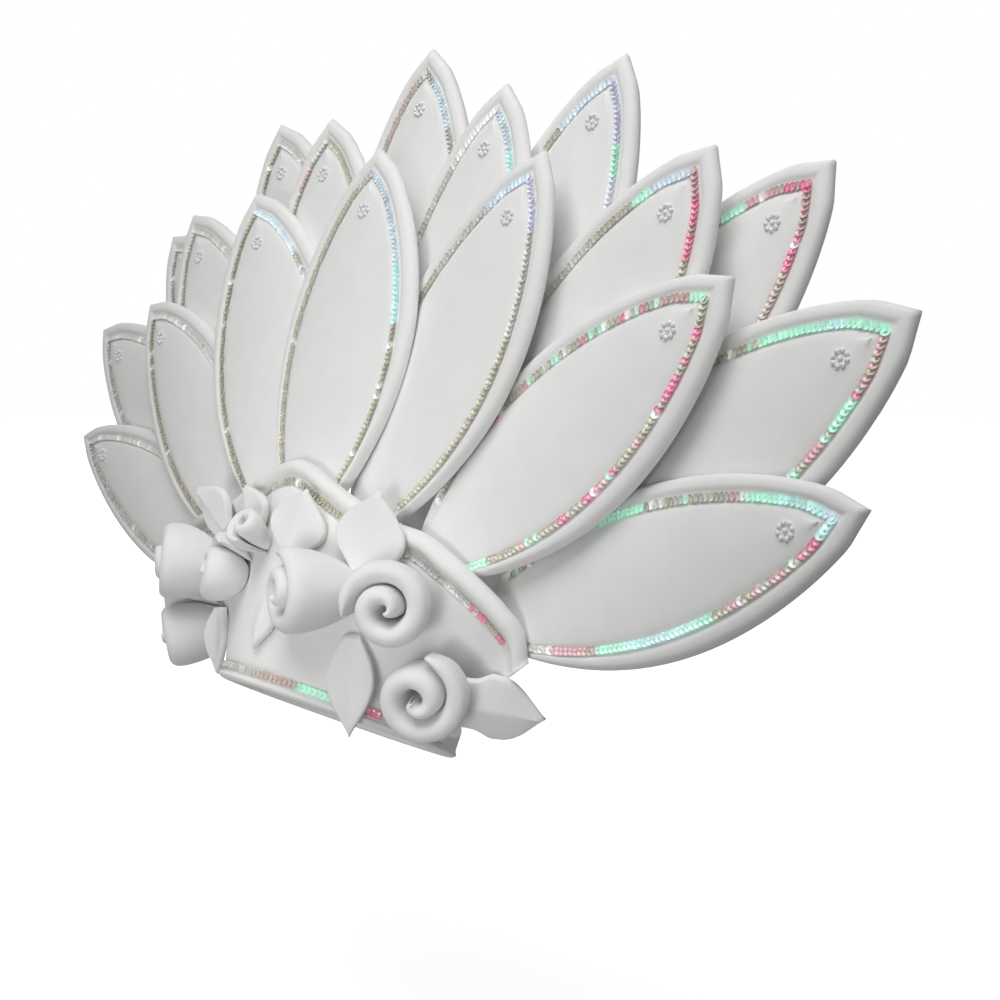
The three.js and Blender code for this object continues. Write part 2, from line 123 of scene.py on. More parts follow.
# Kinds of leaves. fold is the height of the fold, toward is the way that the front faces, and stem is
# half the width of the foot
LeafKind = namedtuple("LeafKind", "fold toward stem")
LEAF_KINDS = {
    "bud": LeafKind(3, (0.3, -0.95, 0.3), 6),
    "upper": LeafKind(3, (0.3, -0.95, 0.1), 6),
    "hanging": LeafKind(-4, (0.6, -0.8, 0), 6),
    "side": LeafKind(4, (0.5, -0.8, -0.3), 19),
    "front": LeafKind(1.5, (0.05, -0.95, 0.32), 6),
}
# Leaves. toward is given where the front doesn't face the usual way
LeafRow = namedtuple("LeafRow", "kind side foot tip half toward", defaults=(None,))
LEAVES = [
    ("bud", 1, (22.8, -61, 135.6), (31.8, -49, 182.6), 25),
    ("bud", -1, (19.3, -60.2, 138.4), (47.8, -45.7, 179.9), 22),
    ("upper", 1, (86.8, -47.3, 126.4), (97.5, -37.5, 185.9), 28),
    ("upper", -1, (84.9, -38.3, 139.6), (122, -42.3, 172.5), 22),
    ("hanging", 1, (84.1, -53.2, 88), (81.1, -55.6, 11.9), 17),
    ("hanging", -1, (87, -52.5, 83.9), (79, -62.5, 31.9), 18, (0.15, -0.99, 0)),
    ("side", 1, (159.7, -15.5, 44.8), (205.7, 12.3, 39.1), 24),
    ("side", -1, (159.7, -15.5, 44.8), (205.7, 12.3, 39.1), 24),
    ("front", 1, (14, -70.9, 110.1), (12, -84.3, 70.1), 12),
]
LEAF = {
    "thick": 6, "wide_at": 1.15, "tip_pull": 1.6, "edge": 2.5,
    "stem_from": 0.4, "stem_over": 0.3, "stem_inset": 0.5,
    "reach": 0.96, "wide_reach": 1.08,  # share of the length where the foot ends, on narrow and wide feet
    "puff": 0.8, "puff_shape": 0.8,
}

# Sequins on a string: cupped discs that overlap along the string
SEQUIN = {
    "across": 5.8, "pitch": 3.7, "hole": 0.75, "cup": 0.8, "sunk": 0.2, "sides": 12,
    "tilt": 17, "tilt_spread": 5, "roll_spread": 0.1,
    "paler": (0.2, 0.5, 0.2, 0.0),  # how clear each ring of a disc is, from the hole to the rim
}
STRING = {
    "lift": 0.9,  # height above the floor of the channel in a feather or the band
    "reach": 0.93,  # share of the channel in a feather or the diadem that is filled
    "diadem_front": -0.7,  # height in front of the surface of the diadem
    "band_up": 9.1,  # height above the rim
    "band_short": 4,  # degrees between its end and the place where the band rises
}
BEAD = {"radius": 1.7, "ring": 4.6, "count": 8, "proud": 0.55, "rings": 5, "sides": 8}

# Colours of the sequins
COLOURS = {
    "olive": (0.56, 0.53, 0.38),
    "grey": (0.72, 0.72, 0.68),
    "pale": (0.88, 0.88, 0.86),
    "ice": (0.72, 0.86, 0.98),
    "lavender": (0.76, 0.78, 0.96),
    "mint": (0.45, 1.0, 0.74),
    "cyan": (0.58, 1.0, 0.95),
    "white": (0.95, 1.0, 0.98),
    "pink": (0.95, 0.1, 0.33),
    "rose": (0.85, 0.46, 0.50),
    "brown": (0.68, 0.52, 0.46),
}

# Colour of each string up to a share of its length. On the diadem and the band it starts at the right,
# and on a feather it runs up the inner edge, round the tip and down the outer edge
GREY_TRIM = [(1.0, "grey")]
TRIM_COLOURS = {
    "front_middle": [(0.47, "olive"), (0.5, "grey"), (0.66, "ice"), (0.76, "cyan"), (1.0, "olive")],
    "front_left_1": [
        (0.3, "olive"), (0.42, "grey"), (0.5, "ice"), (0.58, "lavender"), (0.72, "grey"), (1.0, "olive"),
    ],
    "front_left_2": [
        (0.12, "grey"), (0.42, "mixed"), (0.44, "mint"), (0.48, "rose"), (0.5, "mint"), (0.53, "olive"),
        (0.55, "pink"), (0.57, "olive"), (0.62, "pink"), (0.63, "olive"), (0.65, "pink"), (0.69, "olive"),
        (0.7, "rose"), (0.73, "olive"), (0.75, "pink"), (0.77, "mixed"), (0.79, "pink"), (0.82, "olive"),
        (0.84, "pink"), (0.88, "olive"), (0.9, "mixed"), (0.965, "olive"), (1.0, "mint"),
    ],
    "front_left_3": [
        (0.15, "mixed"), (0.235, "mint"), (0.38, "dull"), (0.43, "mint"), (0.485, "cyan"), (0.5, "ice"),
        (0.525, "cyan"), (0.56, "pink"), (0.575, "olive"), (0.595, "rose"), (0.615, "dull"),
        (0.63, "rose"), (0.65, "olive"), (0.665, "rose"), (0.69, "olive"), (0.72, "mint"), (0.82, "cyan"),
        (0.87, "mint"), (0.94, "rose"), (1.0, "grey"),
    ],
    "middle_left_1": [(0.4, "grey"), (0.5, "white"), (0.58, "ice"), (0.66, "cyan"), (1.0, "olive")],
    "middle_left_2": [
        (0.34, "grey"), (0.4, "olive"), (0.43, "mint"), (0.5, "ice"), (0.53, "rose"), (0.62, "pink"),
        (0.66, "olive"), (0.72, "rose"), (1.0, "brown"),
    ],
    "middle_left_3": [
        (0.25, "grey"), (0.365, "olive"), (0.43, "mint"), (0.46, "cyan"), (0.5, "mint"), (0.53, "rose"),
        (0.545, "mixed"), (0.565, "pink"), (0.6, "mint"), (0.66, "mixed"), (0.69, "pink"), (1.0, "brown"),
    ],
    "back_middle": [(0.48, "brown"), (0.52, "grey"), (0.62, "ice"), (1.0, "grey")],
    "back_left_1": [
        (0.42, "olive"), (0.5, "ice"), (0.58, "lavender"), (0.61, "mint"), (0.66, "lavender"),
        (1.0, "grey"),
    ],
    "back_left_2": [
        (0.38, "rose"), (0.41, "mint"), (0.47, "rose"), (0.52, "pink"), (0.56, "rose"), (0.6, "pink"),
        (1.0, "brown"),
    ],
    "front_right_1": [(0.26, "olive"), (0.32, "ice"), (0.36, "olive"), (0.5, "ice"), (1.0, "olive")],
    "front_right_2": [(0.5, "grey"), (1.0, "olive")],
    "middle_right_1": [(0.5, "olive"), (0.56, "grey"), (0.59, "rose"), (0.75, "grey"), (1.0, "olive")],
    "back_right_1": [(0.5, "grey"), (1.0, "olive")],
    "diadem": [
        (0.4, "pale"), (0.47, "grey"), (0.65, "olive"), (0.932, "pale"), (0.956, "pink"),
        (0.978, "olive"), (1.0, "pink"),
    ],
    "head_band": [
        (0.53, "grey"), (0.64, "brown"), (0.75, "mint"), (0.79, "pale"), (0.82, "pink"), (0.9, "pale"),
        (1.0, "olive"),
    ],
}

# Painted highlight: strength of the glow that the film of each colour gives off on its own, in place of
# its bright reflections
PAINTED_GLOW = {"mint": 0.16, "cyan": 0.16, "ice": 0.14, "white": 0.16, "lavender": 0.08, "pink": 0.05}

# Zones where the colours take turns: each colour and its share of the sequins
TURNS = {
    "mixed": (("olive", 0.48), ("rose", 0.2), ("pink", 0.14), ("mint", 0.18)),
    "dull": (("grey", 0.4), ("olive", 0.3), ("rose", 0.12), ("white", 0.1), ("mint", 0.08)),
}

# Spread of the colours and of the painted glow from one sequin to the next, and the shares of sequins
# that differ from their zone, among them dull discs turned white as painted glints
SPREAD = {"edge": 0.005, "lightness": 0.07, "tint": 0.015, "painted_glow": (0.5, 1.4)}
DULL_SHARE = 0.15
GLINT_SHARE = 0.05

# Seeds for the spread on the strings. Each feather adds one to the first of them
SEEDS = {"feathers": 7, "diadem": 101, "head_band": 102}

# How many places each form is drawn with
DIADEM_STATIONS = 181
BAND_STATIONS = 160
FEATHER_STATIONS = 44
LEAF_STATIONS = 22
DIADEM_STRING_STATIONS = 241
BAND_STRING_STATIONS = 181
ROSE_STEPS = 40  # in one turn
ROSE_CURL = 9  # steps by which the inner end curls on into the middle

# Studio. The camera's place and lens and the floor are in millimetres, and the rest is in metres
CAMERA_AT = (772.8, -597.8, 278.5)
CAMERA_BACK = (0.70256, -0.70256, 0.1132)
CAMERA_LENS = 46.8
CAMERA_SENSOR = 36
CAMERA_FAR = 100
FLOOR_Z = -330
STUDIO_RADIUS = 12.0
STUDIO_SIDES = 96
WORLD_STRENGTH = 0.2
LIGHTS = [  # name, place, target, size, watts, spread in degrees
    ("key", (0.35, -0.55, 1.25), (0, 0, 0.3), 0.9, 10.4, 180),
    ("fill", (0.45, -1.0, -0.05), (0.03, -0.06, 0.06), 0.5, 0.3, 34),
    ("back", (-0.5, 1.3, 0.7), (0, 0, 0.2), 0.9, 5, 180),
]

SIDE_NAMES = {1: "left", -1: "right"}


def unit(v):
    v = np.asarray(v, float)
    return v / np.maximum(np.linalg.norm(v, axis=-1, keepdims=True), 1e-12)


def smooth_table(table, share, column):
    """Smooth value between the rows of a table, read by its first column."""
    xs = np.array([row[0] for row in table], float)
    ys = np.array([row[column] for row in table], float)
    slopes = np.gradient(ys, xs)
    share = np.clip(np.asarray(share, float), xs[0], xs[-1])
    i = np.clip(np.searchsorted(xs, share) - 1, 0, len(xs) - 2)
    span = xs[i + 1] - xs[i]
    t = (share - xs[i]) / span
    h00, h10 = 2 * t**3 - 3 * t**2 + 1, t**3 - 2 * t**2 + t
    h01, h11 = -2 * t**3 + 3 * t**2, t**3 - t**2
    return h00 * ys[i] + h10 * span * slopes[i] + h01 * ys[i + 1] + h11 * span * slopes[i + 1]


# Meshes
def add_mesh(name, points, faces, material, replaced=None):
    """A smooth piece from points in millimetres, which rides on the root body."""
    mesh = bpy.data.meshes.new(name)
    mesh.from_pydata([tuple(p) for p in np.asarray(points) * MM], [], [tuple(f) for f in faces])
    mesh.validate()
    mesh.polygons.foreach_set("use_smooth", np.ones(len(mesh.polygons), bool))
    mesh.materials.append(material)
    piece = bpy.data.objects.new(name, mesh)
    bpy.context.scene.collection.objects.link(piece)
    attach(piece, "root")
    if replaced:
        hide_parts(replaced)
    return piece


def loft_faces(count, size, closed=False):
    """Quads between rings of the same size, in order."""
    faces = []
    for i in range(count if closed else count - 1):
        here, following = i * size, (i + 1) % count * size
        for j in range(size):
            k = (j + 1) % size
            faces.append((here + j, here + k, following + k, following + j))
    return faces


def turned_out(points, faces):
    """The faces with their order turned if the solid is inside out."""
    volume = 0.0
    for face in faces:
        for i in range(1, len(face) - 1):
            a, b, c = points[face[0]], points[face[i]], points[face[i + 1]]
            volume += np.dot(a, np.cross(b, c))
    return faces if volume > 0 else [tuple(reversed(f)) for f in faces]


def weld(piece, distance=0.02 * MM):
    """Joins the points that lie on the middle line, where two sides of a ring meet."""
    bm = bmesh.new()
    bm.from_mesh(piece.data)
    bmesh.ops.remove_doubles(bm, verts=bm.verts, dist=distance)
    bmesh.ops.recalc_face_normals(bm, faces=bm.faces)
    bm.to_mesh(piece.data)
    bm.free()


def subdivided(piece, levels=1):
    """Rounds the piece by one more step of its mesh."""
    modifier = piece.modifiers.new("smooth", "SUBSURF")
    modifier.levels = levels
    modifier.render_levels = levels


def rounded(profile, passes=2):
    """A closed profile with its corners cut round."""
    points = np.asarray(profile, float)
    for _ in range(passes):
        following = np.roll(points, -1, 0)
        near, far = 0.75 * points + 0.25 * following, 0.25 * points + 0.75 * following
        points = np.stack([near, far], 1).reshape(-1, 2)
    return points


# Diadem
def worn(points):
    """Places in the head opening's own frame, turned to the worn tilt."""
    a = -math.radians(HEAD["tilt"])
    turn = np.array([[1, 0, 0], [0, math.cos(a), -math.sin(a)], [0, math.sin(a), math.cos(a)]])
    return np.asarray(points, float) @ turn.T


def diadem_foot(share):
    turn = np.radians(DIADEM["end_angle"] * np.asarray(share, float))
    half_width = HEAD["half_width"] + BAND["wall"]
    half_depth = HEAD["half_depth"] + BAND["wall"]
    seat = np.full_like(turn, DIADEM["seat"])
    return worn(np.stack([half_width * np.sin(turn), -half_depth * np.cos(turn), seat], -1))


def diadem_edge(share):
    share = np.asarray(share, float)
    s = np.abs(share)
    x = smooth_table(DIADEM_EDGE, s, 1) * np.sign(share)
    return np.stack([x, smooth_table(DIADEM_EDGE, s, 2), smooth_table(DIADEM_EDGE, s, 3)], -1)


def diadem_point(share, rise):
    foot, edge = diadem_foot(share), diadem_edge(share)
    return foot + (edge - foot) * np.asarray(rise, float)[..., None]


def diadem_normal(share, rise=0.55):
    step = 0.06
    share = np.asarray(share, float)
    rises = np.full_like(share, rise)
    after = diadem_point(np.minimum(share + step, 1), rises)
    before = diadem_point(np.maximum(share - step, -1), rises)
    return unit(np.cross(after - before, diadem_edge(share) - diadem_foot(share)))


def diadem_places(share, below, front):
    """Places on the diadem, by distance below its edge and height in front of its surface."""
    foot, edge = diadem_foot(share), diadem_edge(share)
    down = unit(foot - edge)
    below, front = np.asarray(below)[..., None], np.asarray(front)[..., None]
    return edge + down * below + diadem_normal(share) * front


def diadem_profile(length):
    """Section of the diadem, by distance below its edge and height in front of its surface."""
    wall, corner, deep = DIADEM["wall"], DIADEM["corner"], DIADEM["channel_deep"]
    outer, inner = DIADEM["channel_from"], DIADEM["channel_to"]
    middle = length * 0.55
    foot = length + DIADEM["pressed"]
    front = [(foot, -corner), (foot - corner, 0), (middle, 0), (inner + 12, 0.2), (inner + 2, 0)]
    channel = [(inner - 0.5, -deep), (outer + 0.5, -deep)]
    border = [(11, 0.9), (7, 2.6), (2.6, 1.4), (0.4, -2.4), (0.0, -6.5), (1.6, -10.5)]
    border += [(6, -DIADEM["border"])]
    back = [(inner, -wall), (middle, -wall), (foot - corner, -wall), (foot, corner - wall)]
    return rounded(front + channel + border + back)


def make_diadem(material):
    rings = []
    for share in np.linspace(-1, 1, DIADEM_STATIONS):
        profile = diadem_profile(float(np.linalg.norm(diadem_foot(share) - diadem_edge(share))))
        rings.append(diadem_places(np.full(len(profile), share), profile[:, 0], profile[:, 1]))
    size = len(rings[0])
    points = np.concatenate(rings)
    faces = loft_faces(len(rings), size)
    faces += [tuple(range(size)), tuple(reversed(range(len(points) - size, len(points))))]
    faces = turned_out(points, faces)
    return add_mesh("diadem_foam", points, faces, material, "diadem")


# Head band
def band_top(turn):
    low, high, rise = BAND["front_height"], BAND["back_height"], math.radians(BAND["rise"])
    beyond = np.maximum(0, np.abs(turn) - rise) / (math.pi - rise)
    return low + (high - low) * np.sin(beyond * math.pi / 2) ** 2


def band_places(turn, out, up):
    x = (HEAD["half_width"] + out) * np.sin(turn)
    y = -(HEAD["half_depth"] + out) * np.cos(turn)
    return worn(np.stack([x, y, np.broadcast_to(up, np.shape(x))], -1))


def band_profile(top):
    """Section of the band, by distance outside the head opening and height above the rim."""
    crest, channel = BAND["crest"], BAND["channel"]
    corner = 0.8
    roll = [(0, 2), (1.8, 0), (5, -0.4), (8.4, 0.2), (crest + 0.2, 2.4), (crest - 0.4, 4.4)]
    wall = [(channel, 5.2), (channel, top - corner), (channel - corner, top)]
    inside = [(corner, top), (0, top - corner)]
    return rounded(roll + wall + inside)


def make_band(material):
    rings = []
    for turn in np.linspace(-math.pi, math.pi, BAND_STATIONS, endpoint=False):
        profile = band_profile(float(band_top(turn)))
        rings.append(band_places(np.full(len(profile), turn), profile[:, 0], profile[:, 1]))
    points = np.concatenate(rings)
    faces = turned_out(points, loft_faces(len(rings), len(rings[0]), closed=True))
    return add_mesh("head_band_foam", points, faces, material, "head_band")


# Feathers
def feather_frame():
    lean = math.radians(FAN_LEAN)
    upward = np.array([0, math.sin(lean), math.cos(lean)])
    backward = np.array([0, math.cos(lean), -math.sin(lean)])
    return np.array(FAN_FOOT, float), upward, backward


def feather_places(row, side, down, across, behind):
    """Places on a feather, by distance down from its tip, across its middle line and behind its face."""
    turn = math.radians(row.angle)
    foot, upward, backward = feather_frame()
    down, across, behind = np.broadcast_arrays(*(np.asarray(v, float) for v in (down, across, behind)))
    x = row.across - down * math.sin(turn) + across * math.cos(turn)
    up = row.up - down * math.cos(turn) - across * math.sin(turn)
    bow = FEATHER["cup"] * (across / row.half) ** 2
    back = row.back + row.slope * down + row.twist * across + bow + behind
    points = foot + up[..., None] * upward + back[..., None] * backward
    points[..., 0] += x
    points[..., 0] *= side
    return points


def feather_half(row, share, inset):
    """Half width of the cut shape, which runs straight to a point at the tip."""
    straight = FEATHER["straight"]
    wave = np.maximum(np.sin(math.pi * np.maximum(share, straight)), 0)
    full = (row.half - inset) * wave ** FEATHER["fullness"] * np.minimum(share / straight, 1)
    stem = np.where(share > FEATHER["stem_from"], row.stem - inset * FEATHER["stem_inset"], 0)
    return np.maximum(full, stem)


def feather_down(row, share, inset):
    tip = inset * FEATHER["tip_pull"]
    return tip + (row.length - tip) * share


def feather_shares(row):
    return ((np.arange(FEATHER_STATIONS) + 1) / FEATHER_STATIONS) ** FEATHER["crowd"] * row.reach


def feather_ring(row, side, inset, behind, width=1.0):
    """Tip, then one side down to the foot, then the other side back up. width draws in both sides."""
    shares = feather_shares(row)
    half = feather_half(row, shares, inset) * width
    down = feather_down(row, shares, inset)
    tip = feather_places(row, side, [feather_down(row, 0.0, inset)], [0.0], [behind])
    near = feather_places(row, side, down, half, behind)
    far = feather_places(row, side, down, -half, behind)
    return np.concatenate([tip, near, far[::-1]])


def make_feather(name, row, side, material):
    """The foam of one feather, from rings at an inset from the outline and a depth behind the face."""
    thick, back_round, front_round = FEATHER["thick"], FEATHER["back_round"], FEATHER["front_round"]
    widest = thick * FEATHER["widest"]
    back_edge = [
        (back_round - back_round * math.sin(a), widest + (thick - widest) * math.cos(a))
        for a in np.linspace(0, 1.45, 6)
    ]
    front_edge = [
        (front_round - front_round * math.cos(a), widest * (1 - math.sin(a)))
        for a in np.linspace(0.12, 1.5, 7)
    ]
    border = [(6.4, -0.25), (8.0, 0.0), (9.2, 0.6), (CHANNEL["from"] + 0.4, 1.35)]
    channel = [(CHANNEL["from"] + 1.6, CHANNEL["deep"]), (CHANNEL["to"] - 1.6, CHANNEL["deep"])]
    lip = [(CHANNEL["to"] - 0.3, 1.3), (CHANNEL["to"] + 1.2, 0.75), (CHANNEL["to"] + 3, 0.4)]
    rings = [feather_ring(row, side, back_round, thick, w) for w in (0.0, 0.3, 0.6, 0.85, 1.0)]
    section = back_edge + front_edge + border + channel + lip
    rings += [feather_ring(row, side, inset, behind) for inset, behind in section]
    inner, deep = lip[-1]
    for width in (0.88, 0.7, 0.45, 0.2, 0.0):
        rings.append(feather_ring(row, side, inner, deep - FEATHER["puff"] * (1 - width * width), width))
    points = np.concatenate(rings)
    faces = turned_out(points, loft_faces(len(rings), len(rings[0])))
    piece = add_mesh(f"{name}_foam", points, faces, material, name)
    weld(piece)
    return piece


def trim_path(row, side):
    """Middle of the channel, up the inner edge and down the outer one, and the way that it faces."""
    inset = (CHANNEL["from"] + CHANNEL["to"]) / 2
    ring = feather_ring(row, side, inset, CHANNEL["deep"] - STRING["lift"])
    deep = feather_ring(row, side, inset, CHANNEL["deep"] + 0.1)
    count = int(FEATHER_STATIONS * STRING["reach"])
    order = [2 * FEATHER_STATIONS + 1 - i for i in range(count, 0, -1)] + list(range(count + 1))
    return ring[order], unit(ring - deep)[order]


def make_spot(name, row, side, material):
    """A flower of small clear beads sewn to the foam."""
    points, faces = [], []
    rings, sides, radius = BEAD["rings"], BEAD["sides"], BEAD["radius"]
    places = [(0.0, 0.0)]
    for i in range(BEAD["count"]):
        turn = 2 * math.pi * i / BEAD["count"]
        places.append((BEAD["ring"] * math.cos(turn), BEAD["ring"] * math.sin(turn)))
    for down, across in places:
        centre = feather_places(row, side, SPOT_FROM_TIP + down, across, -radius * BEAD["proud"])
        first = len(points)
        points.append(centre + np.array([0, 0, radius]))
        for i in range(1, rings):
            polar = math.pi * i / rings
            for j in range(sides):
                turn = 2 * math.pi * j / sides
                wide = math.sin(polar)
                way = (wide * math.cos(turn), wide * math.sin(turn), math.cos(polar))
                points.append(centre + radius * np.array(way))
        last = len(points)
        points.append(centre - np.array([0, 0, radius]))
        for j in range(sides):
            k = (j + 1) % sides
            faces.append((first, first + 1 + j, first + 1 + k))
            faces.append((last, last - sides + k, last - sides + j))
            for i in range(rings - 2):
                a = first + 1 + i * sides
                faces.append((a + j, a + sides + j, a + sides + k, a + k))
    return add_mesh(f"{name}_beads", np.array(points), faces, material)


# Sequins
def zone_colour(zones, share, chance):
    """Colour and painted glow of a sequin at a share of the string, a little different for each one."""
    shift = chance.normal(0, SPREAD["edge"])
    name = next((colour for end, colour in zones if share + shift <= end), zones[-1][1])
    if name in TURNS:
        names, parts = zip(*TURNS[name])
        name = str(chance.choice(names, p=parts))
    elif name in ("pink", "rose") and chance.random() < DULL_SHARE:
        name = "olive"
    # painted highlight: a few olive, grey and brown discs turn white and glowing, as glints
    if name in ("olive", "grey", "brown") and chance.random() < GLINT_SHARE:
        name = "white"
    base = np.array(COLOURS[name])
    lightness = 1 + chance.normal(0, SPREAD["lightness"])
    colour = np.clip(base * lightness + chance.normal(0, SPREAD["tint"], 3), 0.02, 1)
    return colour, PAINTED_GLOW.get(name, 0.0) * chance.uniform(*SPREAD["painted_glow"])


def resampled(path, normals, pitch):
    """Even steps along a path: place, way that it faces, way along it and share of its length."""
    steps = np.linalg.norm(np.diff(path, axis=0), axis=1)
    run = np.concatenate([[0], np.cumsum(steps)])
    count = int(run[-1] / pitch)
    at = (np.arange(count) + 0.5) * run[-1] / count
    place = np.stack([np.interp(at, run, path[:, i]) for i in range(3)], -1)
    facing = unit(np.stack([np.interp(at, run, normals[:, i]) for i in range(3)], -1))
    ahead = np.stack([np.interp(at + 1.0, run, path[:, i]) for i in range(3)], -1)
    behind = np.stack([np.interp(at - 1.0, run, path[:, i]) for i in range(3)], -1)
    return place, facing, unit(ahead - behind), at / run[-1]


def make_sequins(name, path, normals, zones, material, replaced, seed):
    """Overlapped cupped discs along a path, as one mesh with a colour for each disc."""
    chance = np.random.default_rng(seed)
    place, facing, along, share = resampled(path, normals, SEQUIN["pitch"])
    sides = SEQUIN["sides"]
    radius = SEQUIN["across"] / 2
    turns = 2 * math.pi * np.arange(sides) / sides
    circle = np.stack([np.cos(turns), np.sin(turns)], -1)
    # rings of a disc, from the hole to the rim
    radii = [SEQUIN["hole"], radius * 0.45, radius * 0.8, radius]
    heights = [0.0, 0.1, SEQUIN["cup"] * 0.62, SEQUIN["cup"]]
    points, faces, colours, painted_glow = [], [], [], []
    for i in range(len(place)):
        lean = math.radians(SEQUIN["tilt"] + chance.normal(0, SEQUIN["tilt_spread"]))
        roll = chance.normal(0, SEQUIN["roll_spread"])
        n0, t0 = facing[i], unit(along[i] - np.dot(along[i], facing[i]) * facing[i])
        side = np.cross(n0, t0)
        t = t0 * math.cos(lean) + n0 * math.sin(lean)
        n = n0 * math.cos(lean) - t0 * math.sin(lean)
        side, n = side * math.cos(roll) + n * math.sin(roll), n * math.cos(roll) - side * math.sin(roll)
        first = i * sides * len(radii)
        for r, h in zip(radii, heights):
            ring = circle[:, :1] * t + circle[:, 1:] * side
            points.append(place[i] + r * ring + (h - SEQUIN["sunk"]) * n)
        for step in range(len(radii) - 1):
            a = first + step * sides
            for j in range(sides):
                k = (j + 1) % sides
                faces.append((a + j, a + sides + j, a + sides + k, a + k))
        colour, glow_strength = zone_colour(zones, share[i], chance)
        # painted highlight: each disc's glow strength, one value for each of its points
        painted_glow.append(np.full(sides * len(radii), glow_strength))
        for paler in SEQUIN["paler"]:
            shade = colour + (np.array(COLOURS["pale"]) - colour) * paler
            colours.append(np.tile(np.append(shade, 1.0), (sides, 1)))
    piece = add_mesh(name, np.concatenate(points), faces, material, replaced)
    layer = piece.data.color_attributes.new("sequin_colour", "FLOAT_COLOR", "POINT")
    layer.data.foreach_set("color", np.concatenate(colours).astype(np.float32).ravel())
    layer = piece.data.attributes.new("sequin_painted_glow", "FLOAT", "POINT")
    layer.data.foreach_set("value", np.concatenate(painted_glow).astype(np.float32))
    return piece


def make_diadem_sequins(material):
    shares = np.linspace(-STRING["reach"], STRING["reach"], DIADEM_STRING_STATIONS)
    below = np.full_like(shares, (DIADEM["channel_from"] + DIADEM["channel_to"]) / 2)
    path = diadem_places(shares, below, np.full_like(shares, STRING["diadem_front"]))
    zones, seed = TRIM_COLOURS["diadem"], SEEDS["diadem"]
    make_sequins("diadem_trim_sequins", path, diadem_normal(shares), zones, material, "diadem_trim", seed)


def make_band_sequins(material):
    limit = math.radians(BAND["rise"] - STRING["band_short"])
    turns = np.linspace(-limit, limit, BAND_STRING_STATIONS)
    out = BAND["channel"] + STRING["lift"]
    path = band_places(turns, np.full_like(turns, out), STRING["band_up"])
    outer = band_places(turns, np.full_like(turns, out + 5), STRING["band_up"])
    zones, seed = TRIM_COLOURS["head_band"], SEEDS["head_band"]
    make_sequins("head_band_sequins", path, unit(outer - path), zones, material, "head_band_trim", seed)


# Roses
def diadem_distance(point, way, lift):
    """How far a line from a point runs along a way before it meets the diadem, raised by lift."""
    end = 0.999
    shares, rises = np.meshgrid(np.linspace(-0.95, 0.95, 39), np.linspace(0.1, 0.9, 9))
    far = np.linalg.norm(diadem_point(shares, rises) - point, axis=-1)
    best = np.unravel_index(np.argmin(far), far.shape)
    guess = np.array([shares[best], rises[best], far[best]])

    def miss(g):
        share = np.clip(g[0], -end, end)
        return diadem_point(share, g[1]) + diadem_normal(share) * lift - point - way * g[2]

    for _ in range(8):
        now = miss(guess)
        step = 1e-3
        slope = np.stack([(miss(guess + step * e) - now) / step for e in np.eye(3)], -1)
        guess = guess - np.linalg.lstsq(slope, now, rcond=None)[0]
        guess[0] = np.clip(guess[0], -end, end)
    return guess[2]


def foot_of(point, face, axis, foot_share, clear):
    """Where the strip under a point of the open side meets the diadem, drawn in towards the axis."""
    start = face + (point - face) * foot_share
    return start - axis * diadem_distance(start, -axis, clear)


def make_rose(name, row, side, material):
    """A foam strip rolled in a spiral, with round lips and a rim that opens outwards."""
    face, axis, size = np.array(row.face, float), unit(row.axis), row.size
    right = unit(np.cross((0, 0, 1), axis))
    upward = np.cross(axis, right)
    total = int(round(row.turns * ROSE_STEPS))
    first = -ROSE_CURL
    feet = {}
    rings = []
    for i in range(first, total + 1):
        turn = 2 * math.pi * i / ROSE_STEPS
        angle = turn + math.radians(row.start)
        outward = right * math.cos(angle) + upward * math.sin(angle)
        radius = size * (ROSE["core"] + ROSE["pitch"] * turn / (2 * math.pi))
        ends = min(i - first, total - i) * ROSE["solid_steps"] / ROSE_STEPS
        taper = min(1.0, ROSE["thin_end"] + ROSE["thicken"] * ends)
        taper *= math.sqrt(min(1.0, (ends + 0.01) / ROSE["round_end"]))
        half = min(size * ROSE["strip"] / 2 * taper, ROSE["widest"] * radius)
        low = row.drop * max(i, 0) / total
        low += ROSE["end_drop"] * (1 - min(1.0, ends / ROSE["round_end"])) ** 2
        if i % ROSE["foot_every"] == 0 or i in (first, total):
            edges = [face + outward * (radius + s * half) for s in (-1, 1)]
            feet[i] = [foot_of(edge, face, axis, row.foot_share, row.clear) for edge in edges]
        rings.append((i, outward, radius, half, low))
    known = sorted(feet)
    points = []
    for i, outward, radius, half, low in rings:
        foot_in = np.array([np.interp(i, known, [feet[k][0][c] for k in known]) for c in range(3)])
        foot_out = np.array([np.interp(i, known, [feet[k][1][c] for k in known]) for c in range(3)])
        lip = []
        for s in np.linspace(1, -1, 9):
            rise = math.sqrt(max(0.0, 1 - s * s)) * half * ROSE["lip"]
            sink = low + half * ROSE["lip"] + ROSE["rim_out"] * max(s, 0.0)
            lip.append(face + outward * (radius + s * half) - axis * (sink - rise))
        bulge = outward * ROSE["bulge"] * size
        outer_wall = [
            foot_out + (lip[0] - foot_out) * t + bulge * math.sin(math.pi * t) for t in WALL_SHARES
        ]
        inner_wall = [lip[-1] + (foot_in - lip[-1]) * t for t in WALL_SHARES]
        points += [foot_in, foot_out, *outer_wall, *lip, *inner_wall]
    points = np.array(points)
    points[:, 0] *= side
    count = len(points) // len(rings)
    faces = loft_faces(len(rings), count)
    faces += [tuple(range(count)), tuple(reversed(range(len(points) - count, len(points))))]
    faces = turned_out(points, faces)
    piece = add_mesh(f"{name}_foam", points, faces, material, name)
    subdivided(piece)
    return piece


